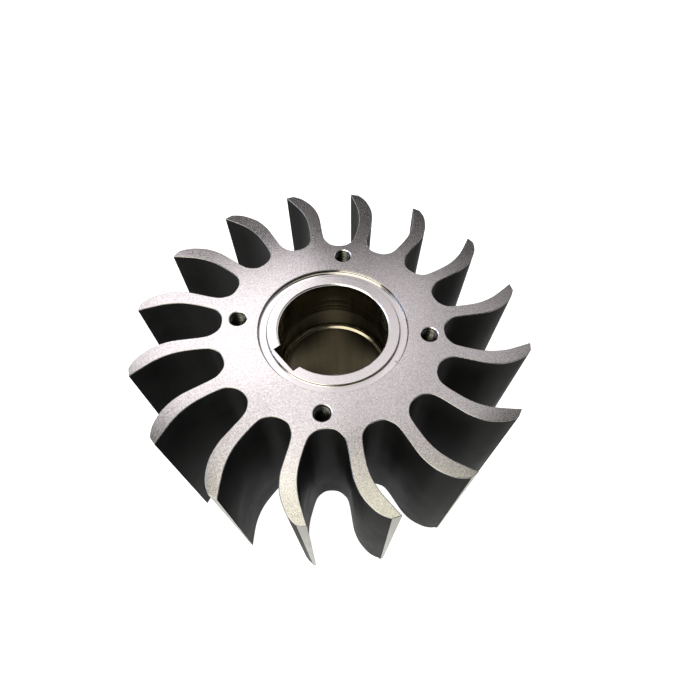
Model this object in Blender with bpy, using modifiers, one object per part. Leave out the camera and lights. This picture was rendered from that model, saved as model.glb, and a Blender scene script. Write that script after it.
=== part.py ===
"""Pump impeller: a one-piece stainless casting with sixteen curved vanes on a keyed hub.

The shaft axis is Z and the lower face lies on Z = 0. The port face, with the four
tapped holes on the X and Y axes, looks along +Z. Lengths are in metres.
"""

import math

import bmesh
import bpy
from mathutils import Matrix, Vector

MM = 0.001

# The whole casting
OUTER_RADIUS = 98.5 * MM
HEIGHT = 95 * MM
VANES = 16
TURNED_STEPS = 64
FIRST_CORNER = math.radians(-1.2)  # a corner of the turned body falls on each vane's tip

# Bore, with a wider recess between its short upper land and its long lower one
BORE_RADIUS = 27.5 * MM
BORE_CHAMFER = 1.0 * MM
LAND = 23 * MM
RECESS_RADIUS = 30 * MM
LEDGE_DEPTH = 39.5 * MM

# Hub ring and the groove around it, the same on both faces
RING_RADIUS = 33.2 * MM
RING_DROP = 0.4 * MM
GROOVE_RADIUS = 37.5 * MM
GROOVE_DEPTH = 2.0 * MM

# Keyway for a 16 x 10 key, halfway between two holes
KEY_WIDTH = 16 * MM
KEY_FLOOR = 30.9 * MM
KEY_ANGLE = math.radians(225)

# Four blind M8 holes in the port face
HOLES = 4
HOLE_CIRCLE_RADIUS = 48.1 * MM
HOLE_RADIUS = 3.4 * MM
HOLE_MOUTH_RADIUS = 4.6 * MM
HOLE_DEPTH = 22 * MM
DRILL_POINT = 2 * MM
HOLE_STEPS = 16

OVERCUT = 2 * MM  # how far the cutters reach past the faces

# The gap between two vanes, as points from the hollow side of one vane, along the root,
# to the round side of the next. Each has its radius in mm, its angle in degrees and its
# draft in mm, which is how much wider the gap is there at the lower face.
GAP_POINTS = (
    (102.5, 1.3, 1.2),
    (98.5, 0.1, 1.2),
    (92.6, -1.6, 1.2),
    (86.7, -3.35, 1.1),
    (80.8, -4.6, 1.0),
    (74.9, -5.2, 0.9),
    (68.0, -5.1, 0.8),
    (63.0, -4.65, 0.8),
    (60.0, -3.9, 0.8),
    (57.6, -2.0, 0.9),
    (56.2, 0.3, 1.0),
    (55.7, 4.0, 1.0),
    (56.4, 7.2, 1.1),
    (58.3, 9.3, 1.4),
    (61.1, 10.9, 1.8),
    (65.0, 11.5, 1.9),
    (70.9, 11.73, 2.0),
    (77.8, 12.0, 2.0),
    (82.7, 12.7, 1.9),
    (87.2, 13.8, 1.8),
    (91.6, 15.5, 1.6),
    (95.1, 17.2, 1.4),
    (97.5, 19.0, 1.2),
    (98.5, 19.9, 1.15),
    (102.5, 21.9, 1.1),
)
CURVE_STEPS = 2

STEEL = (0.46, 0.44, 0.44, 1.0)


def clear_scene():
    for obj in list(bpy.data.objects):
        bpy.data.objects.remove(obj, do_unlink=True)


def new_collection(name):
    collection = bpy.data.collections.new(name)
    bpy.context.scene.collection.children.link(collection)
    return collection


def steel():
    material = bpy.data.materials.new("satin_steel")
    material.use_nodes = True
    shader = material.node_tree.nodes["Principled BSDF"]
    shader.inputs["Base Color"].default_value = STEEL
    shader.inputs["Metallic"].default_value = 1.0
    shader.inputs["Roughness"].default_value = 0.38
    return material


def add_object(name, bm, collection):
    mesh = bpy.data.meshes.new(name)
    bm.to_mesh(mesh)
    bm.free()
    obj = bpy.data.objects.new(name, mesh)
    collection.objects.link(obj)
    return obj


def as_cutter(obj):
    obj.hide_render = True
    obj.display_type = "WIRE"
    return obj


def turned(name, profile, steps, collection):
    """A closed profile of (radius, height) points, turned about Z."""
    bm = bmesh.new()
    ring = [bm.verts.new((radius, 0, height)) for radius, height in profile]
    for a, b in zip(ring, ring[1:] + ring[:1]):
        bm.edges.new((a, b))
    obj = add_object(name, bm, collection)
    screw = obj.modifiers.new("turn", "SCREW")
    screw.steps = screw.render_steps = steps
    screw.use_merge_vertices = True
    screw.merge_threshold = 0.00001
    return obj


def face_recess(face, into):
    """The ring and the groove of one face, from the outside in; into is -1 at the top."""
    ring = face + into * RING_DROP
    floor = face + into * GROOVE_DEPTH
    return [
        (GROOVE_RADIUS, face),
        (GROOVE_RADIUS, floor),
        (RING_RADIUS, floor),
        (RING_RADIUS, ring),
        (BORE_RADIUS + BORE_CHAMFER, ring),
        (BORE_RADIUS, ring + into * BORE_CHAMFER),
    ]


def blank(collection):
    """The turned body, before the gaps, the keyway and the holes are cut."""
    ledge = HEIGHT - LEDGE_DEPTH
    bore = [
        (BORE_RADIUS, ledge),
        (RECESS_RADIUS, ledge),
        (RECESS_RADIUS, HEIGHT - LAND),
        (BORE_RADIUS, HEIGHT - LAND),
    ]
    profile = [(OUTER_RADIUS, HEIGHT), (OUTER_RADIUS, 0)]
    profile += face_recess(0, 1) + bore + face_recess(HEIGHT, -1)[::-1]
    return turned("impeller", profile, TURNED_STEPS, collection)


def curve_through(points, steps):
    """Catmull-Rom curve through the points, with steps pieces between each two."""
    ends = [2 * points[0] - points[1], *points, 2 * points[-1] - points[-2]]
    curve = []
    for a, b, c, d in zip(ends, ends[1:], ends[2:], ends[3:]):
        for step in range(steps):
            t = step / steps
            curve.append(
                0.5 * (2 * b + (c - a) * t + (2 * a - 5 * b + 4 * c - d) * t**2
                       + (3 * b - a - 3 * c + d) * t**3)
            )
    return curve + [points[-1]]


def gap_outline(level):
    """The gap's outline in plan, at the port face for level 0 and the lower face for 1."""
    corners = []
    for radius, angle, draft in GAP_POINTS:
        angle = math.radians(angle)
        corners.append(Vector((radius * math.cos(angle), radius * math.sin(angle), draft)) * MM)
    curve = curve_through(corners, CURVE_STEPS)
    outline = []
    for i, point in enumerate(curve):
        along = curve[min(i + 1, len(curve) - 1)] - curve[max(i - 1, 0)]
        outward = Vector((-along.y, along.x)).normalized()
        outline.append(point.xy + level * point.z * outward)
    return outline


def gap_cutter(number, mesh, collection):
    """One of the sixteen gaps, turned to its place."""
    obj = as_cutter(bpy.data.objects.new(f"gap_{number + 1}", mesh))
    obj.rotation_euler.z = number * math.tau / VANES
    collection.objects.link(obj)
    return obj


def gap_mesh():
    """A loft between the gap's outline above the port face and its wider one below."""
    bm = bmesh.new()
    rings = []
    for height in (HEIGHT + OVERCUT, -OVERCUT):
        outline = gap_outline(1 - height / HEIGHT)
        rings.append([bm.verts.new((p.x, p.y, height)) for p in outline])
    top, bottom = rings
    bm.faces.new(top)
    bm.faces.new(bottom[::-1])
    for i in range(len(top)):
        j = (i + 1) % len(top)
        bm.faces.new((top[i], bottom[i], bottom[j], top[j]))
    bmesh.ops.recalc_face_normals(bm, faces=bm.faces)
    mesh = bpy.data.meshes.new("gap")
    bm.to_mesh(mesh)
    bm.free()
    return mesh


def keyway_cutter(collection):
    """A slot from the axis out to the key's floor, through both faces."""
    bm = bmesh.new()
    bmesh.ops.create_cube(bm, size=1)
    size = Matrix.Diagonal((KEY_FLOOR, KEY_WIDTH, HEIGHT + 2 * OVERCUT, 1))
    place = Matrix.Translation((KEY_FLOOR / 2, 0, HEIGHT / 2))
    bmesh.ops.transform(bm, matrix=Matrix.Rotation(KEY_ANGLE, 4, "Z") @ place @ size, verts=bm.verts)
    return as_cutter(add_object("keyway", bm, collection))


def hole_cutter(number, collection):
    """A drilled hole with a countersunk mouth, on the hole circle."""
    sink = HOLE_MOUTH_RADIUS - HOLE_RADIUS
    profile = [
        (0, HEIGHT + OVERCUT),
        (HOLE_MOUTH_RADIUS + OVERCUT, HEIGHT + OVERCUT),
        (HOLE_RADIUS, HEIGHT - sink),
        (HOLE_RADIUS, HEIGHT - HOLE_DEPTH),
        (0, HEIGHT - HOLE_DEPTH - DRILL_POINT),
    ]
    obj = as_cutter(turned(f"hole_{number + 1}", profile, HOLE_STEPS, collection))
    angle = number * math.tau / HOLES
    obj.location = (HOLE_CIRCLE_RADIUS * math.cos(angle), HOLE_CIRCLE_RADIUS * math.sin(angle), 0)
    return obj


def cut(body, collection):
    boolean = body.modifiers.new(collection.name, "BOOLEAN")
    boolean.operation = "DIFFERENCE"
    boolean.operand_type = "COLLECTION"
    boolean.collection = collection


def main():
    clear_scene()
    parts = new_collection("pump_impeller")
    cutters = new_collection("cutters")
    body = blank(parts)
    body.rotation_euler.z = FIRST_CORNER
    body.data.materials.append(steel())
    mesh = gap_mesh()
    for number in range(VANES):
        gap_cutter(number, mesh, cutters)
    keyway_cutter(cutters)
    for number in range(HOLES):
        hole_cutter(number, cutters)
    cut(body, cutters)


main()
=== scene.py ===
"""Pump impeller: the finished casting and its studio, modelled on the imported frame.

Lengths are in metres. The shaft axis is Z, the lower face lies on Z = 0 and the port
face, with the tapped holes, looks up.
"""

import math

import bpy
from bpy.props import FloatProperty, FloatVectorProperty, IntProperty, PointerProperty
from mathutils import Matrix, Vector


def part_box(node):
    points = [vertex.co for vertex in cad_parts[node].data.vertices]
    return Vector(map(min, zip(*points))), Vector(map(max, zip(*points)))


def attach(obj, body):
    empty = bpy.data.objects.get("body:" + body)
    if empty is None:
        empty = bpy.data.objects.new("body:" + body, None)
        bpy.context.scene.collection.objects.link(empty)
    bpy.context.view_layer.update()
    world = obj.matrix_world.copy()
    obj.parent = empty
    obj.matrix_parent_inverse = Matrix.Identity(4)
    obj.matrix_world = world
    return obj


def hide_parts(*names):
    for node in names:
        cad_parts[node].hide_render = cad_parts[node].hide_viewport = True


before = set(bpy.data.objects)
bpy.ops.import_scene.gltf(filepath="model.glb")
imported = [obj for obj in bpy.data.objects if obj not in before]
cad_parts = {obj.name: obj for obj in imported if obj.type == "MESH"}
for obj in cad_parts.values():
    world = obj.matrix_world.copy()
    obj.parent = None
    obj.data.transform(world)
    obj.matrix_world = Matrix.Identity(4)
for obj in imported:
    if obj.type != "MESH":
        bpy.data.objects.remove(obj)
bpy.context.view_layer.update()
LOW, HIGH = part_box("impeller")

bl_info = {
    "name": "Pump Impeller",
    "version": (1, 0, 0),
    "blender": (4, 5, 0),
    "location": "View3D > Sidebar > Impeller",
    "description": "Models a keyed pump impeller with curved vanes, and its studio",
    "category": "Add Mesh",
}

MM = 0.001
CLOSE = 1e-6
FLAT = 0.999
UP = Vector((0, 0, 1))

HOLE_CIRCLE = 48.1 * MM  # radius of the circle that the four tapped holes are on
GROOVE_DEPTH = 2.0 * MM

# Depths of the fine rings in the bore's upper land
LAND_MARKS = (12.8 * MM, 17.4 * MM, 20.2 * MM)

# The gap between two vanes, from the hollow side of one vane, along the root, to the
# round side of the next: radius in mm, angle in degrees, and how many mm wider the gap
# is there at the lower face
GAP_POINTS = (
    (102.5, 1.3, 1.2),
    (98.5, 0.1, 1.2),
    (92.6, -1.6, 1.2),
    (86.7, -3.35, 1.1),
    (80.8, -4.6, 1.0),
    (74.9, -5.2, 0.9),
    (68.0, -5.1, 0.8),
    (63.0, -4.65, 0.8),
    (60.0, -3.9, 0.8),
    (57.6, -2.0, 0.9),
    (56.2, 0.3, 1.0),
    (55.7, 4.0, 1.0),
    (56.4, 7.2, 1.1),
    (58.3, 9.3, 1.4),
    (61.1, 10.9, 1.8),
    (65.0, 11.5, 1.9),
    (70.9, 11.73, 2.0),
    (77.8, 12.0, 2.0),
    (82.7, 12.7, 1.9),
    (87.2, 13.8, 1.8),
    (91.6, 15.5, 1.6),
    (95.1, 17.2, 1.4),
    (97.5, 19.0, 1.2),
    (98.5, 19.9, 1.15),
    (102.5, 21.9, 1.1),
)


def length(name, description, default):
    return FloatProperty(name=name, description=description, default=default,
                         subtype="DISTANCE", unit="LENGTH")


def tint(name, description, default):
    return FloatVectorProperty(name=name, description=description, default=default,
                               subtype="COLOR", size=3, min=0, max=1)


class ImpellerSizes(bpy.types.PropertyGroup):
    """Sizes of the casting."""

    vanes: IntProperty(name="Vanes", description="Number of vanes", default=16, min=3)
    height: length("Height", "Between the two faces", HIGH.z - LOW.z)
    outer_radius: length("Outer radius", "Over the tips of the vanes", 98.5 * MM)
    bore_radius: length("Bore radius", "Upper and lower lands of the bore", 27.5 * MM)
    bore_chamfer: length("Bore chamfer", "At the mouths of the bore", 0.7 * MM)
    land: length("Land", "Depth of the upper land", 23 * MM)
    recess_radius: length("Recess radius", "Bore between the two lands", 30 * MM)
    ledge: length("Ledge", "Depth of the ledge under the recess", 39.5 * MM)
    ledge_rise: length("Ledge rise", "Outer edge of the ledge's seat above its inner edge", 0.75 * MM)
    ledge_seat: length("Ledge seat", "Width of the bright seat, inside its steep shoulder", 1.4 * MM)
    mark_depth: length("Mark depth", "Fine rings turned into the upper land", 0.12 * MM)
    ring_radius: length("Ring radius", "Hub ring around the bore", 33.2 * MM)
    ring_drop: length("Ring drop", "Hub ring below the face", 0.4 * MM)
    groove_radius: length("Groove radius", "Outer wall of the groove", 37.5 * MM)
    groove_depth: length("Groove depth", "Below the face", GROOVE_DEPTH)
    groove_foot: length("Groove foot", "Rounding between the groove's floor and walls", 0.75 * MM)
    key_width: length("Key width", "Width of the keyway", 16 * MM)
    key_floor: length("Key floor", "Keyway floor to the axis", 30.9 * MM)
    key_angle: FloatProperty(name="Key angle", description="Keyway's place around the axis",
                             default=math.radians(225), subtype="ANGLE", unit="ROTATION")
    holes: IntProperty(name="Holes", description="Number of tapped holes", default=4, min=1)
    hole_circle: length("Hole circle", "Radius of the circle of holes", HOLE_CIRCLE)
    hole_radius: length("Hole radius", "Tapping size", 3.4 * MM)
    mouth_radius: length("Mouth radius", "Countersunk mouth of a hole", 4.6 * MM)
    hole_depth: length("Hole depth", "Full depth of the drilling", 22 * MM)
    drill_point: length("Drill point", "Cone at the bottom of a hole", 2 * MM)
    thread_pitch: length("Thread pitch", "One turn of the thread", 1.25 * MM)
    thread_radius: length("Thread radius", "Bottom of the thread", 4.0 * MM)
    edge: length("Edge", "Rounding of the vanes' edges", 0.35 * MM)


class ImpellerFinish(bpy.types.PropertyGroup):
    """Colours of the casting."""

    ground: tint("Ground steel", "Faces ground flat", (0.62, 0.59, 0.595))
    turned: tint("Turned steel", "Hub ring and groove", (0.72, 0.69, 0.69))
    # Groove walls: a darker steel than the groove's floor, as painted shade in the groove
    walled: tint("Groove walls", "Walls of the groove", (0.40, 0.39, 0.36))
    dressed: tint("Dressed edges", "Rounded edges of the vanes", (0.30, 0.295, 0.29))
    tip: tint("Vane tips", "Outer ends of the vanes", (0.27, 0.265, 0.245))
    bored: tint("Bored steel", "Inside of the bore", (0.26, 0.235, 0.18))
    tapped: tint("Tapped steel", "Oily threads in the holes", (0.13, 0.13, 0.115))
    # Cast skin: a dark skin made near black, as painted shade on the vanes' sides
    cast: tint("Cast skin", "Sides of the vanes", (0.009, 0.009, 0.0094))


class StudioSettings(bpy.types.PropertyGroup):
    """Floor, light and camera."""

    floor: tint("Floor", "Pale floor", (0.5, 0.5, 0.5))
    room: tint("Room", "Light of the dim room", (0.03, 0.03, 0.025))
    reach: length("Reach", "Radius of the flat floor", 3.0)
    turn: length("Turn", "Radius of the bend from floor to wall", 0.7)
    wall: length("Wall", "Height of the wall around the floor", 2.4)
    lens: FloatProperty(name="Lens", description="Focal length in millimetres", default=24.64)


# Selecting and drawing


def settled():
    """Object mode with nothing selected."""
    if bpy.context.object and bpy.context.object.mode != "OBJECT":
        bpy.ops.object.mode_set(mode="OBJECT")
    bpy.ops.object.select_all(action="DESELECT")


def pick(*objects):
    settled()
    for obj in objects:
        obj.select_set(True)
    bpy.context.view_layer.objects.active = objects[0]
    return objects[0]


def edit(obj, kind="VERT"):
    """Edit mode on one object, with nothing selected in it."""
    pick(obj)
    bpy.ops.object.mode_set(mode="EDIT")
    bpy.ops.mesh.select_mode(type=kind)
    bpy.ops.mesh.select_all(action="DESELECT")


def select_where(obj, kind, test):
    """Select the edges or faces that pass a test, and return to edit mode."""
    bpy.ops.object.mode_set(mode="OBJECT")
    mesh = obj.data
    for group in (mesh.vertices, mesh.edges, mesh.polygons):
        group.foreach_set("select", [False] * len(group))
    for item in mesh.edges if kind == "EDGE" else mesh.polygons:
        item.select = test(item)
    bpy.ops.object.mode_set(mode="EDIT")


def edges_with(obj, faces):
    """The keys of the edges that have so many faces."""
    sides = {}
    for face in obj.data.polygons:
        for key in face.edge_keys:
            sides[key] = sides.get(key, 0) + 1
    return {key for key, count in sides.items() if count == faces}


def drawn_line(name, points):
    """A line drawn through the points, as a mesh with edges only."""
    settled()
    bpy.ops.curve.primitive_bezier_curve_add()
    obj = bpy.context.object
    obj.name = name
    curve = obj.data
    curve.splines.clear()
    line = curve.splines.new("POLY")
    line.points.add(len(points) - 1)
    for end, place in zip(line.points, points):
        end.co = (*place, 1)
    bpy.ops.object.convert(target="MESH")
    return bpy.context.object


def rounded(corners, radius, steps=3):
    """A turned profile with its inner corners rounded: (radius, height) pairs."""
    points = [Vector(corners[0])]
    for before, corner, after in zip(corners, corners[1:], corners[2:]):
        a, b, c = Vector(before), Vector(corner), Vector(after)
        into, out = (a - b).normalized(), (c - b).normalized()
        reach = min(radius, (a - b).length * 0.45, (c - b).length * 0.45)
        for step in range(steps + 1):
            t = step / steps
            points.append(b + into * reach * (1 - t) ** 2 + out * reach * t**2)
    return points + [Vector(corners[-1])]


def spun(name, profile, steps, centre=(0, 0, 0)):
    """A profile of (radius, height) pairs, spun about an upright axis."""
    obj = drawn_line(name, [(centre[0] + r, centre[1], z) for r, z in profile])
    edit(obj)
    bpy.ops.mesh.select_all(action="SELECT")
    bpy.ops.mesh.spin(steps=steps, angle=math.tau, center=centre, axis=UP)
    bpy.ops.mesh.select_all(action="SELECT")
    bpy.ops.mesh.remove_doubles(threshold=CLOSE)
    settled()
    return obj


# The casting


def curve_through(points, steps):
    """Catmull-Rom curve through the points, with steps pieces between each two."""
    ends = [2 * points[0] - points[1], *points, 2 * points[-1] - points[-2]]
    curve = []
    for a, b, c, d in zip(ends, ends[1:], ends[2:], ends[3:]):
        for step in range(steps):
            t = step / steps
            curve.append(
                0.5 * (2 * b + (c - a) * t + (2 * a - 5 * b + 4 * c - d) * t**2
                       + (3 * b - a - 3 * c + d) * t**3)
            )
    return curve + [points[-1]]


def gap_outline(level):
    """The gap's sides in plan, at the port face for level 0 and the lower face for 1."""
    corners = []
    for radius, angle, draft in GAP_POINTS:
        angle = math.radians(angle)
        corners.append(Vector((radius * math.cos(angle), radius * math.sin(angle), draft)) * MM)
    curve = curve_through(corners, 6)
    outline = []
    for i, point in enumerate(curve):
        along = curve[min(i + 1, len(curve) - 1)] - curve[max(i - 1, 0)]
        outward = Vector((-along.y, along.x)).normalized()
        outline.append(point.xy + level * point.z * outward)
    return outline


def sector(sizes, height, pieces=110):
    """One gap and the tip of the next vane, as points at one height."""
    outline = gap_outline(1 - height / sizes.height)
    reach = sizes.outer_radius
    inside = [i for i, point in enumerate(outline) if point.length < reach]
    first, last = inside[0], inside[-1]

    def crossing(inner, outer):
        a, b = outline[inner], outline[outer]
        return a.lerp(b, (reach - a.length) / (b.length - a.length))

    line = [crossing(first, first - 1), *outline[first : last + 1], crossing(last, last + 1)]
    travelled = [0.0]
    for a, b in zip(line, line[1:]):
        travelled.append(travelled[-1] + (b - a).length)
    points = []
    i = 0
    for piece in range(pieces + 1):
        wanted = travelled[-1] * piece / pieces
        while i < len(line) - 2 and travelled[i + 1] < wanted:
            i += 1
        t = (wanted - travelled[i]) / (travelled[i + 1] - travelled[i])
        points.append(line[i].lerp(line[i + 1], t))
    next_tip = points[0].copy()
    next_tip.rotate(Matrix.Rotation(math.tau / sizes.vanes, 2))
    return [(point.x, point.y, height) for point in (*points, next_tip)]


def vaned_walls(sizes):
    """The sides and tips of all the vanes."""
    upper = drawn_line("casting", sector(sizes, sizes.height))
    lower = drawn_line("lower_outline", sector(sizes, 0))
    walls = pick(upper, lower)
    bpy.ops.object.join()
    edit(walls, "EDGE")
    bpy.ops.mesh.select_all(action="SELECT")
    bpy.ops.mesh.bridge_edge_loops()
    bpy.ops.mesh.select_all(action="SELECT")
    others = sizes.vanes - 1
    bpy.ops.mesh.spin(steps=others, dupli=True, angle=math.tau * others / sizes.vanes,
                      center=(0, 0, 0), axis=UP)
    bpy.ops.mesh.select_all(action="SELECT")
    bpy.ops.mesh.remove_doubles(threshold=CLOSE)
    settled()
    return walls


def face_profile(sizes, face, into):
    """Groove with rounded feet, ring and bore mouth of one face, from the outside in."""
    ring = face + into * sizes.ring_drop
    floor = face + into * sizes.groove_depth
    lead = 0.25 * MM
    groove = [
        (sizes.groove_radius, face + into * lead),
        (sizes.groove_radius, floor),
        (sizes.ring_radius, floor),
        (sizes.ring_radius, ring),
    ]
    return [
        (sizes.groove_radius + lead, face),
        *rounded(groove, sizes.groove_foot, 5),
        (sizes.bore_radius + sizes.bore_chamfer, ring),
        (sizes.bore_radius, ring + into * sizes.bore_chamfer),
    ]


def turned_hub(sizes):
    """Everything that the lathe made: both grooves, both rings and the bore."""
    top = sizes.height
    bore = []
    for depth in LAND_MARKS:
        bore += [
            (sizes.bore_radius, top - depth + 2 * sizes.mark_depth),
            (sizes.bore_radius + sizes.mark_depth, top - depth),
            (sizes.bore_radius, top - depth - 2 * sizes.mark_depth),
        ]
    bore += [
        (sizes.bore_radius, top - sizes.land),
        (sizes.recess_radius, top - sizes.land),
        (sizes.recess_radius, top - sizes.ledge + 3 * sizes.ledge_rise),
        (sizes.bore_radius + sizes.ledge_seat, top - sizes.ledge + sizes.ledge_rise),
        (sizes.bore_radius, top - sizes.ledge),
    ]
    profile = face_profile(sizes, top, -1) + bore + face_profile(sizes, 0, 1)[::-1]
    return spun("turned_hub", rounded(profile, 0.22 * MM), 192)


def threaded_wall(sizes, top, bottom):
    """The helical thread of one hole, cut level at both ends."""
    pitch = sizes.thread_pitch
    crest, root = sizes.hole_radius, sizes.thread_radius
    section = [(crest, 0), (crest, 0.08), (root, 0.5), (root, 0.54), (crest, 0.96), (crest, 1)]
    start = bottom - 1.3 * pitch
    thread = drawn_line("thread", [(r, 0, start + z * pitch) for r, z in section])
    screw = thread.modifiers.new("thread", "SCREW")
    screw.steps = screw.render_steps = 32
    screw.screw_offset = pitch
    screw.iterations = math.ceil((top - bottom) / pitch) + 2
    bpy.ops.object.modifier_apply(modifier=screw.name)
    edit(thread)
    bpy.ops.mesh.select_all(action="SELECT")
    bpy.ops.mesh.remove_doubles(threshold=CLOSE)
    for height, side in ((top, "clear_outer"), (bottom, "clear_inner")):
        edit(thread)
        bpy.ops.mesh.select_all(action="SELECT")
        bpy.ops.mesh.bisect(plane_co=(0, 0, height), plane_no=UP, **{side: True})
    settled()
    thread.data.transform(Matrix.Translation((sizes.hole_circle, 0, 0)))
    return thread


def drilled_holes(sizes):
    """The four blind holes: countersunk mouth, thread and drill point."""
    top = sizes.height
    sink = sizes.mouth_radius - sizes.hole_radius
    bottom = top - sizes.hole_depth
    run_out = 3 * sizes.thread_pitch
    lead = 0.1 * MM
    centre = (sizes.hole_circle, 0, 0)
    mouth = [
        (sizes.mouth_radius + lead, top),
        (sizes.mouth_radius, top - lead),
        (sizes.hole_radius, top - sink),
    ]
    drilling = [
        (sizes.hole_radius, bottom + run_out),
        (sizes.hole_radius, bottom),
        (0, bottom - sizes.drill_point),
    ]
    levels = (top - sink - lead, bottom + run_out + lead)
    holes = pick(
        spun("drilled_holes", rounded(mouth, 0.15 * MM, 2), 32, centre),
        threaded_wall(sizes, *levels),
        spun("drilling", drilling, 32, centre),
    )
    bpy.ops.object.join()
    for level in levels:
        edit(holes, "EDGE")
        verts = holes.data.vertices
        open_edges = edges_with(holes, 1)

        def beside(edge):
            near = all(abs(verts[i].co.z - level) < lead + CLOSE for i in edge.vertices)
            return near and edge.key in open_edges

        select_where(holes, "EDGE", beside)
        bpy.ops.mesh.bridge_edge_loops()
    bpy.ops.mesh.select_all(action="SELECT")
    others = sizes.holes - 1
    bpy.ops.mesh.spin(steps=others, dupli=True, angle=math.tau * others / sizes.holes,
                      center=(0, 0, 0), axis=UP)
    settled()
    return holes


def closed_faces(casting, sizes):
    """Fill the two flat faces between the vanes' outline, the groove and the holes."""
    for height in (sizes.height, 0):
        edit(casting, "EDGE")
        verts = casting.data.vertices
        open_edges = edges_with(casting, 1)

        def open_at_height(edge):
            level = all(abs(verts[i].co.z - height) < CLOSE for i in edge.vertices)
            return level and edge.key in open_edges

        select_where(casting, "EDGE", open_at_height)
        bpy.ops.mesh.fill(use_beauty=True)
        bpy.ops.mesh.select_mode(type="FACE")
        bpy.ops.mesh.dissolve_limited(angle_limit=math.radians(1))
    bpy.ops.mesh.select_all(action="SELECT")
    bpy.ops.mesh.normals_make_consistent(inside=False)
    settled()


def rounded_edges(casting, sizes):
    """Round the vanes' edges at both faces, and their upright corners at the tips."""
    edit(casting, "EDGE")
    verts = casting.data.vertices
    level = {}
    for face in casting.data.polygons:
        for key in face.edge_keys:
            level.setdefault(key, []).append(abs(face.normal.z) > FLAT)
    outside = sizes.groove_radius + 1 * MM
    hole_reach = sizes.mouth_radius + 0.5 * MM

    def by_a_hole(place):
        turn = round(math.atan2(place.y, place.x) / math.tau * sizes.holes)
        hole = Vector((sizes.hole_circle, 0))
        hole.rotate(Matrix.Rotation(turn * math.tau / sizes.holes, 2))
        return (place.xy - hole).length < hole_reach

    def to_round(edge):
        a, b = (verts[i].co for i in edge.vertices)
        if min(a.xy.length, b.xy.length) > sizes.outer_radius - CLOSE and abs(a.z - b.z) > sizes.height / 2:
            return True
        at_face = sorted(level[edge.key]) == [False, True]
        return at_face and a.xy.length > outside and not by_a_hole(a)

    select_where(casting, "EDGE", to_round)
    bpy.ops.mesh.bevel(offset=sizes.edge, segments=3, affect="EDGES", clamp_overlap=False)
    settled()


def cut_out(casting, cutter):
    """Take the cutter's shape out of the casting, and the cutter away."""
    pick(casting)
    cut = casting.modifiers.new("cut", "BOOLEAN")
    cut.operation = "DIFFERENCE"
    cut.solver = "EXACT"
    cut.object = cutter
    bpy.ops.object.modifier_apply(modifier=cut.name)
    bpy.data.objects.remove(cutter, do_unlink=True)


def keyway_broach(sizes):
    """The keyway's shape, from the axis out to its floor and past both faces."""
    settled()
    bpy.ops.mesh.primitive_cube_add(size=1, location=(sizes.key_floor / 2, 0, sizes.height / 2),
                                    scale=(sizes.key_floor, sizes.key_width, sizes.height * 1.2))
    broach = bpy.context.object
    broach.name = "keyway_broach"
    edit(broach, "EDGE")
    verts = broach.data.vertices

    def floor_corner(edge):
        a, b = (broach.matrix_world @ verts[i].co for i in edge.vertices)
        return a.x > sizes.key_floor - CLOSE and abs(a.z - b.z) > sizes.height

    select_where(broach, "EDGE", floor_corner)
    settled()
    pick(broach)
    bpy.ops.object.transform_apply(location=True, rotation=True, scale=True)
    edit(broach, "EDGE")
    select_where(broach, "EDGE", floor_corner)
    bpy.ops.mesh.bevel(offset=0.35 * MM, segments=3, affect="EDGES")
    settled()
    turn = Matrix.Rotation(sizes.key_angle, 4, "Z")
    broach.data.transform(turn)
    return broach


# Materials


class Value:
    """A shader socket that takes part in sums."""

    def __init__(self, nodes, socket):
        self.nodes = nodes
        self.socket = socket

    def maths(self, operation, *others):
        return self.nodes.add("ShaderNodeMath", {"operation": operation}, *others)

    def __add__(self, other):
        return self.maths("ADD", self, other)

    def __radd__(self, other):
        return self.maths("ADD", other, self)

    def __sub__(self, other):
        return self.maths("SUBTRACT", self, other)

    def __rsub__(self, other):
        return self.maths("SUBTRACT", other, self)

    def __mul__(self, other):
        return self.maths("MULTIPLY", self, other)

    def __rmul__(self, other):
        return self.maths("MULTIPLY", other, self)

    def __truediv__(self, other):
        return self.maths("DIVIDE", self, other)

    def __pow__(self, other):
        return self.maths("POWER", self, other)


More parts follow.
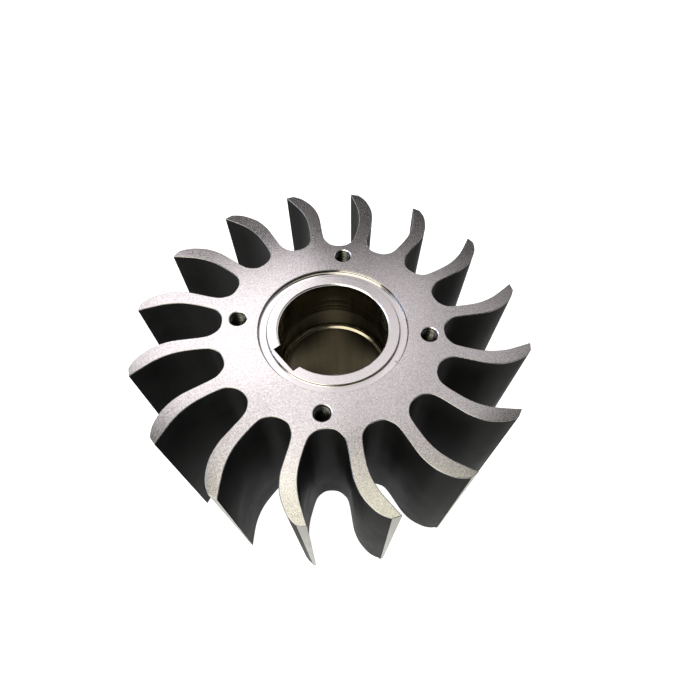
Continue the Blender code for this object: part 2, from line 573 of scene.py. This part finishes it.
class Nodes:
    """Builds one material's nodes."""

    def __init__(self, name):
        self.material = bpy.data.materials.new(name)
        self.material.use_nodes = True
        self.tree = self.material.node_tree
        self.shader = self.tree.nodes["Principled BSDF"]
        place = self.tree.nodes.new("ShaderNodeTexCoord")
        self.place = Value(self, place.outputs["Object"])

    def add(self, kind, settings, *inputs, output=0, **named):
        """A node with its settings, the values or links of its sockets, and one output."""
        node = self.tree.nodes.new(kind)
        for key, value in settings.items():
            if key == "stops":
                self.stops(node.color_ramp, value)
            else:
                setattr(node, key, value)
        for i, value in enumerate(inputs):
            self.plug(node.inputs[i], value)
        for key, value in named.items():
            self.plug(node.inputs[key], value)
        return Value(self, node.outputs[output])

    def stops(self, ramp, stops):
        while len(ramp.elements) < len(stops):
            ramp.elements.new(1)
        for element, (position, colour) in zip(ramp.elements, stops):
            element.position = position
            element.color = colour if len(colour) == 4 else (*colour, 1)

    def plug(self, socket, value):
        if isinstance(value, Value):
            self.tree.links.new(value.socket, socket)
        elif value is not None:
            socket.default_value = value

    def finish(self, **sockets):
        for name, value in sockets.items():
            self.plug(self.shader.inputs[name.replace("_", " ")], value)
        return self.material

    def noise(self, scale, detail=3, roughness=0.5, place=None):
        return self.add("ShaderNodeTexNoise", {}, Vector=place or self.place, Scale=scale,
                        Detail=detail, Roughness=roughness)

    def mix(self, share, a, b):
        """Colours a and b mixed by share."""
        node = self.tree.nodes.new("ShaderNodeMix")
        node.data_type = "RGBA"
        for socket, value in ((node.inputs[0], share), (node.inputs[6], a), (node.inputs[7], b)):
            if not isinstance(value, (Value, float, int)):
                value = (*value, 1) if len(value) == 3 else value
            self.plug(socket, value)
        return Value(self, node.outputs[2])

    def span(self, value, low, high, to_low=0.0, to_high=1.0):
        return self.add("ShaderNodeMapRange", {"clamp": True}, value, low, high, to_low, to_high)

    def bump(self, height, strength, distance, normal=None):
        return self.add("ShaderNodeBump", {}, Strength=strength, Distance=distance,
                        Height=height, Normal=normal)

    def part(self, axis):
        """One part of the place: 0 is X, 1 is Y and 2 is Z."""
        return self.add("ShaderNodeSeparateXYZ", {}, self.place, output=axis)

    def from_axis(self):
        return self.maths_of("SQRT", self.part(0) * self.part(0) + self.part(1) * self.part(1))

    def maths_of(self, operation, value):
        return self.add("ShaderNodeMath", {"operation": operation}, value)

    def vectors(self, operation, a, b=None, output=0):
        return self.add("ShaderNodeVectorMath", {"operation": operation}, a, b, output=output)

    def stretched(self, across, along, up):
        """The place, stretched for a pattern with so many grains to the metre each way."""
        return self.vectors("MULTIPLY", self.place, (across, along, up))

    def near(self, spot, reach):
        """1 at a spot, falling to 0 at the reach."""
        away = self.vectors("DISTANCE", self.place, spot, output=1)
        return self.span(away, 0.0, reach, 1.0, 0.0)

    def scratch(self, start, end, width):
        """1 on a straight scratch between two places, 0 beside it, with a wavering course."""
        run = Vector(end) - Vector(start)
        waver = self.vectors("SCALE", self.vectors("SUBTRACT", self.colour_noise(300), (0.5,) * 3))
        self.plug(waver.socket.node.inputs["Scale"], 0.8 * MM)
        away = self.vectors("SUBTRACT", self.vectors("ADD", self.place, waver), tuple(start))
        along = self.vectors("DOT_PRODUCT", away, tuple(run / run.length_squared), output=1)
        share = self.span(along, 0.0, 1.0)
        back = self.vectors("SCALE", tuple(run))
        self.plug(back.socket.node.inputs["Scale"], share)
        off = self.vectors("DISTANCE", away, back, output=1)
        return self.span(off, 0.0, width, 1.0, 0.0)

    def colour_noise(self, scale):
        return self.add("ShaderNodeTexNoise", {}, Vector=self.place, Scale=scale, Detail=1, output=1)


# Handling marks, as places in mm: fine scratches on the port face, a nick in the groove
SCRATCHES = (
    ((-29.3, -36.4), (-30.2, -42.4)),
    ((-30.0, -41.5), (-29.6, -47.8)),
    ((-27.6, -45.2), (-24.7, -50.5)),
    ((-25.9, -45.4), (-22.3, -51.2)),
    ((-24.5, -44.0), (-22.0, -46.6)),
)
NICK = (32.2, -16.4)


def ground_steel(finish):
    """Flat faces: finely ground, with a soft speckle, faint streaks and a few scratches."""
    n = Nodes("ground_steel")
    grain = n.noise(1900, 2, 0.6)
    streaks = n.noise(1.0, 2, 0.5, place=n.stretched(240, 2200, 240))
    cloud = n.noise(38, 3, 0.6)
    shade = grain * 0.8 + streaks * 0.1 + cloud * 0.1
    dark = tuple(c * 0.76 for c in finish.ground)
    light = tuple(min(1, c * 1.2) for c in finish.ground)
    colour = n.mix(n.span(shade, 0.36, 0.64), dark, light)
    marks = 0.0
    for start, end in SCRATCHES:
        ends = [Vector((x * MM, y * MM, HIGH.z)) for x, y in (start, end)]
        marks = n.scratch(*ends, 0.35 * MM) + marks
    colour = n.mix(n.span(marks * 0.22, 0.0, 1.0), colour, tuple(c * 0.25 for c in finish.ground))
    rough = n.span(grain + cloud, 0.7, 1.3, 0.17, 0.22)
    return n.finish(Base_Color=colour, Metallic=1.0, Roughness=rough,
                    Normal=n.bump(grain - marks * 0.5, 0.07, 0.0001))


def tool_marks(n, around, upright):
    """Fine noise that runs round the axis, with so many marks to the metre."""
    return n.noise(1.0, 3, 0.6, place=n.add("ShaderNodeCombineXYZ", {}, n.from_axis() * around,
                                            n.part(2) * upright, 0.0))


def turned_steel(finish):
    """The hub ring and the holes' mouths: fine concentric tool marks."""
    n = Nodes("turned_steel")
    marks = tool_marks(n, 2400, 2400)
    colour = n.mix(n.span(marks, 0.35, 0.65), tuple(c * 0.88 for c in finish.turned), finish.turned)
    return n.finish(Base_Color=colour, Metallic=1.0, Roughness=n.span(marks, 0.3, 0.7, 0.16, 0.21),
                    Normal=n.bump(marks, 0.1, 0.0001), Anisotropic=0.6)


def grooved_steel(finish):
    """Floor of the groove: smoother, with one nick."""
    n = Nodes("grooved_steel")
    marks = tool_marks(n, 1800, 1500)
    colour = n.mix(n.span(marks, 0.35, 0.65), tuple(c * 0.82 for c in finish.turned), finish.turned)
    nick = n.near((NICK[0] * MM, NICK[1] * MM, HIGH.z - GROOVE_DEPTH), 0.9 * MM)
    colour = n.mix(nick * 0.7, colour, tuple(c * 0.2 for c in finish.turned))
    return n.finish(Base_Color=colour, Metallic=1.0, Roughness=n.span(marks, 0.3, 0.7, 0.09, 0.14),
                    Normal=n.bump(marks, 0.08, 0.0001))


def walled_steel(finish):
    """Walls of the groove: a darker steel than the groove's floor, as painted shade in the groove, with
    sharp rings.
    """
    n = Nodes("walled_steel")
    marks = tool_marks(n, 300, 2600)
    colour = n.mix(n.span(marks, 0.4, 0.6), tuple(c * 0.6 for c in finish.walled), finish.walled)
    return n.finish(Base_Color=colour, Metallic=1.0, Roughness=n.span(marks, 0.3, 0.7, 0.08, 0.14),
                    Normal=n.bump(marks, 0.06, 0.0001))


def tip_steel(finish):
    """Outer ends of the vanes: turned, then dulled by handling."""
    n = Nodes("tip_steel")
    marks = n.noise(1.0, 3, 0.6, place=n.stretched(260, 260, 1500))
    cloud = n.noise(160, 3, 0.6)
    colour = n.mix(n.span(marks * 0.5 + cloud * 0.5, 0.38, 0.62), tuple(c * 0.82 for c in finish.tip),
                   finish.tip)
    return n.finish(Base_Color=colour, Metallic=1.0, Roughness=n.span(cloud, 0.35, 0.65, 0.3, 0.42))


def bored_steel(finish):
    """The bore: smooth and dark, with faint upright streaks and fainter marks round it."""
    n = Nodes("bored_steel")
    marks = tool_marks(n, 900, 700)
    streaks = n.noise(1.0, 2, 0.5, place=n.stretched(280, 280, 9))
    shade = marks * 0.4 + streaks * 0.6
    colour = n.mix(n.span(shade, 0.38, 0.62), tuple(c * 0.78 for c in finish.bored), finish.bored)
    return n.finish(Base_Color=colour, Metallic=1.0, Roughness=n.span(shade, 0.35, 0.65, 0.16, 0.25),
                    Normal=n.bump(marks, 0.04, 0.0001))


def tapped_steel(finish):
    """Threads and countersinks: dark, with a blotchy oily roughness and a bright rim, and painted shade in
    the thread's roots, so the crests stand out lighter.
    """
    n = Nodes("tapped_steel")
    x, y = n.maths_of("ABSOLUTE", n.part(0)), n.maths_of("ABSOLUTE", n.part(1))
    along = x.maths("MAXIMUM", x, y) - HOLE_CIRCLE
    across = x.maths("MINIMUM", x, y)
    from_hole = n.maths_of("SQRT", along * along + across * across)
    oil_and_shade_noise = n.noise(500, 3, 0.6)
    crest = n.span(from_hole + oil_and_shade_noise * 0.0002, 3.8 * MM, 3.5 * MM)
    rim = n.span(from_hole, 4.15 * MM, 4.45 * MM)
    # Painted shade: the thread's roots are darkened to 0.15 of the crests' tint
    colour = n.mix(crest, tuple(c * 0.15 for c in finish.tapped), finish.tapped)
    colour = n.mix(rim, colour, finish.turned)
    return n.finish(Base_Color=colour, Metallic=1.0, Roughness=n.span(oil_and_shade_noise, 0.35, 0.65, 0.22, 0.36))


def cast_skin(finish):
    """Sides of the vanes: smooth cast skin, dark all over: a dark skin, made near black as painted shade on
    the vanes' sides and between them.
    """
    n = Nodes("cast_skin")
    cloud = n.noise(60, 4, 0.6)
    grain = n.noise(900, 3, 0.6)
    colour = n.mix(n.span(cloud, 0.35, 0.7), tuple(c * 0.7 for c in finish.cast),
                   tuple(c * 1.3 for c in finish.cast))
    return n.finish(Base_Color=colour, Metallic=0.0, Roughness=n.span(cloud, 0.3, 0.7, 0.45, 0.58),
                    Specular_IOR_Level=0.03, Normal=n.bump(grain, 0.2, 0.0002))


def dressed_steel(finish):
    """Edges rubbed bright with a file."""
    n = Nodes("dressed_steel")
    grain = n.noise(700, 2, 0.6)
    colour = n.mix(n.span(grain, 0.35, 0.65), tuple(c * 0.8 for c in finish.dressed), finish.dressed)
    return n.finish(Base_Color=colour, Metallic=1.0, Roughness=n.span(grain, 0.3, 0.7, 0.2, 0.3))


ZONES = ("ground", "turned", "grooved", "walled", "tip", "bored", "tapped", "cast", "dressed")


def zone_of(centre, normal, sizes):
    """Which finish a face of the casting has, by its place and its direction."""
    radius = centre.xy.length
    depth = min(centre.z, sizes.height - centre.z)
    if abs(normal.z) > FLAT and depth < CLOSE:
        return "ground"
    if radius > sizes.groove_radius + 0.1 * MM:
        hole = Vector((sizes.hole_circle, 0))
        turn = round(math.atan2(centre.y, centre.x) / math.tau * sizes.holes)
        hole.rotate(Matrix.Rotation(turn * math.tau / sizes.holes, 2))
        if (centre.xy - hole).length < sizes.mouth_radius + 0.2 * MM and centre.z > sizes.height / 2:
            return "tapped"
        if radius > sizes.outer_radius - 0.05 * MM and abs(normal.z) < 0.1:
            return "tip"
        return "dressed" if depth < sizes.edge - CLOSE else "cast"
    if radius > sizes.ring_radius - CLOSE or depth > sizes.ring_drop + sizes.bore_chamfer + 0.1 * MM:
        if radius > sizes.ring_radius - CLOSE:
            return "grooved" if abs(normal.z) > 0.7 else "walled"
        return "bored"
    if sizes.ledge - sizes.ledge_rise < sizes.height - centre.z < sizes.ledge and normal.z > 0.75:
        return "turned"
    return "turned" if radius > sizes.bore_radius + 0.02 * MM and depth < sizes.ledge / 2 else "bored"


def finished(casting, sizes, finish):
    """Give the casting its materials, and shade it with its flat faces flat."""
    makers = (ground_steel, turned_steel, grooved_steel, walled_steel, tip_steel, bored_steel, tapped_steel,
              cast_skin, dressed_steel)
    casting.data.materials.clear()
    for maker in makers:
        casting.data.materials.append(maker(finish))
    mesh = casting.data
    for face in mesh.polygons:
        face.material_index = ZONES.index(zone_of(face.center, face.normal, sizes))
    pick(casting)
    bpy.ops.object.shade_smooth_by_angle(angle=math.radians(32))
    flat = {}
    for face in mesh.polygons:
        level = abs(face.normal.z) > FLAT
        for key in face.edge_keys:
            flat.setdefault(key, set()).add(level)
    for edge in mesh.edges:
        if len(flat.get(edge.key, ())) > 1:
            edge.use_edge_sharp = True


class IMPELLER_OT_casting(bpy.types.Operator):
    """Model the casting: vanes, hub, bore, keyway and tapped holes"""

    bl_idname = "impeller.casting"
    bl_label = "Casting"
    bl_options = {"REGISTER", "UNDO"}

    def execute(self, context):
        sizes = context.scene.impeller_sizes
        finish = context.scene.impeller_finish
        casting = vaned_walls(sizes)
        hub = turned_hub(sizes)
        holes = drilled_holes(sizes)
        pick(casting, hub, holes)
        bpy.ops.object.join()
        closed_faces(casting, sizes)
        rounded_edges(casting, sizes)
        cut_out(casting, keyway_broach(sizes))
        finished(casting, sizes, finish)
        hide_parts("impeller")
        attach(casting, "root")
        return {"FINISHED"}


# Studio


LIGHT_DISTANCE = 1.6
FLOOR_GLOW = 1.0
# Painted shadow under the hub: the dim glow of the floor there, which the bore mirrors
HUB_SHADE = (0.22, 0.205, 0.155)

# Colours of the light, as red, green and blue
PLAIN = (1.0, 0.96, 0.98)
WARM = (1.0, 1.0, 0.78)
LAMP = (1.0, 0.955, 0.83)
SKY = (0.59, 0.735, 1.0)

# Each softbox: its name, azimuth, elevation, width and height in degrees, seen from the
# impeller, its colour, and its brightness as a mirror would show it
SOFTBOXES = (
    ("window_low", -40, 45, 11, 4.3, PLAIN, 1.5),
    ("window_side", -46, 50, 6.9, 6.3, PLAIN, 1.4),
    ("window", -26, 50, 19.8, 6.3, PLAIN, 2.0),
    ("window_top_left", -41, 57, 11.4, 8.3, PLAIN, 1.85),
    ("window_top", -26, 57, 5.9, 8.3, PLAIN, 1.95),
    ("window_top_right", -16, 57, 5.9, 8.3, PLAIN, 1.05),
    ("bounce_left", -41, 65, 8.9, 8.3, PLAIN, 0.85),
    ("bounce", -21, 65, 8.9, 8.3, PLAIN, 1.4),
    ("ceiling_low_left", -6, 50, 6.9, 6.3, PLAIN, 0.7),
    ("ceiling_low", 6, 50, 8.2, 6.3, PLAIN, 0.87),
    ("ceiling_low_right", 24, 50, 15.9, 6.3, PLAIN, 0.5),
    ("ceiling_left", -6, 57, 5.9, 8.3, PLAIN, 0.6),
    ("ceiling", 6, 57, 7.0, 8.3, PLAIN, 1.05),
    ("ceiling_right", 24, 57, 13.6, 8.3, PLAIN, 0.7),
    ("ceiling_high", 0, 65, 9.8, 8.3, PLAIN, 1.0),
    ("ceiling_high_right", 24, 65, 10.6, 8.3, PLAIN, 0.8),
    ("top_left", -32, 72, 13, 6.3, PLAIN, 1.15),
    ("top_right", 10, 72, 13, 6.3, PLAIN, 0.3),
    ("overhead", 0, 90, 34, 32, WARM, 1.2),
    ("front_left", -143.5, 56, 44, 36, LAMP, 4.6),
    ("front_left_low", -130, 24, 40, 18, LAMP, 2.6),
    ("left", -84, 20, 30, 24, SKY, 3.4),
)


def softbox(name, azimuth, elevation, width, height, colour, brightness):
    """An area light that looks at the impeller."""
    a, e = math.radians(azimuth), math.radians(elevation)
    way = Vector((math.sin(a) * math.cos(e), math.cos(a) * math.cos(e), math.sin(e)))
    settled()
    bpy.ops.object.light_add(type="AREA", location=way * LIGHT_DISTANCE)
    light = bpy.context.object
    light.name = name
    light.rotation_euler = way.to_track_quat("Z", "Y").to_euler()
    light.data.shape = "RECTANGLE"
    light.data.size = 2 * LIGHT_DISTANCE * math.tan(math.radians(width) / 2)
    light.data.size_y = 2 * LIGHT_DISTANCE * math.tan(math.radians(height) / 2)
    light.data.color = colour
    light.data.energy = brightness * math.pi * light.data.size * light.data.size_y
    light.visible_camera = False
    return light


def pale_floor(studio):
    """White below and darker up the wall, dimmer at the back right, and shaded under the hub: a painted
    shadow that glows dimly, lighter down its middle.
    """
    n = Nodes("pale_floor")
    mottle = n.noise(3, 2, 0.5)
    colour = n.mix(n.span(mottle, 0.3, 0.7), tuple(c * 0.98 for c in studio.floor), tuple(studio.floor))
    away = n.span(n.part(0) + n.part(1), -2.0, 3.0)
    wall = n.mix(away, (0.62, 0.61, 0.58), (0.30, 0.30, 0.31))
    wall = n.mix(n.span(n.part(2), 1.2, 2.2), wall, (0.12, 0.12, 0.12))
    glow = n.mix(n.span(n.part(2), 0.2, 1.2), (1, 1, 1), wall)
    shade = n.span(n.from_axis(), 46 * MM, 55 * MM)
    # Painted light in that shadow: a glowing strip down the middle for the bore to mirror, fading to a
    # tenth of it at the sides
    lit_middle = n.span(n.maths_of("ABSOLUTE", n.part(0)), 22 * MM, 2 * MM)
    under = n.mix(lit_middle, tuple(c * 0.1 for c in HUB_SHADE), HUB_SHADE)
    return n.finish(Base_Color=n.mix(shade, (0.02, 0.02, 0.02), colour), Roughness=0.9,
                    Specular_IOR_Level=0.1, Emission_Color=n.mix(shade, under, glow),
                    Emission_Strength=FLOOR_GLOW)


def swept_floor(studio):
    """A round floor that turns up into a wall, so no horizon shows."""
    top = studio.wall
    profile = [(0, -0.1 * MM), (studio.reach, -0.1 * MM)]
    for step in range(1, 9):
        t = math.pi / 2 * step / 8
        profile.append((studio.reach + studio.turn * math.sin(t), studio.turn * (1 - math.cos(t))))
    profile.append((studio.reach + studio.turn, top))
    floor = spun("floor", profile, 96)
    pick(floor)
    bpy.ops.object.shade_smooth()
    return floor


class IMPELLER_OT_studio(bpy.types.Operator):
    """Set up the pale floor, the soft lights and the camera"""

    bl_idname = "impeller.studio"
    bl_label = "Studio"
    bl_options = {"REGISTER", "UNDO"}

    def execute(self, context):
        studio = context.scene.impeller_studio
        floor = swept_floor(studio)
        floor.data.materials.append(pale_floor(studio))
        for box in SOFTBOXES:
            softbox(*box)
        world = bpy.data.worlds.new("dim_room")
        context.scene.world = world
        world.use_nodes = True
        world.node_tree.nodes["Background"].inputs["Color"].default_value = (*studio.room, 1)
        bpy.ops.object.camera_add(location=(18.89 * MM, -141.64 * MM, 289.29 * MM))
        camera = context.object
        camera.rotation_euler = [math.radians(d) for d in (29.917, -1.962, 4.339)]
        camera.data.lens = studio.lens
        camera.data.shift_x = -0.02934
        camera.data.shift_y = 0.04337
        camera.data.clip_start = 0.01
        context.scene.camera = camera
        context.scene.view_settings.view_transform = "Standard"
        return {"FINISHED"}


class IMPELLER_PT_sidebar(bpy.types.Panel):
    """The impeller's sizes, finishes and steps"""

    bl_label = "Pump Impeller"
    bl_idname = "IMPELLER_PT_sidebar"
    bl_space_type = "VIEW_3D"
    bl_region_type = "UI"
    bl_category = "Impeller"

    def draw(self, context):
        scene = context.scene
        for step in STEPS:
            self.layout.operator(step.bl_idname)
        for group in (scene.impeller_sizes, scene.impeller_finish, scene.impeller_studio):
            box = self.layout.box()
            for name in group.__annotations__:
                box.prop(group, name)


STEPS = (IMPELLER_OT_casting, IMPELLER_OT_studio)
GROUPS = {
    "impeller_sizes": ImpellerSizes,
    "impeller_finish": ImpellerFinish,
    "impeller_studio": StudioSettings,
}


def register():
    for name, group in GROUPS.items():
        bpy.utils.register_class(group)
        setattr(bpy.types.Scene, name, PointerProperty(type=group))
    for step in (*STEPS, IMPELLER_PT_sidebar):
        bpy.utils.register_class(step)


def unregister():
    for step in (IMPELLER_PT_sidebar, *STEPS):
        bpy.utils.unregister_class(step)
    for name, group in GROUPS.items():
        delattr(bpy.types.Scene, name)
        bpy.utils.unregister_class(group)


def main():
    register()
    bpy.ops.impeller.casting()
    bpy.ops.impeller.studio()


if __name__ == "__main__":
    main()
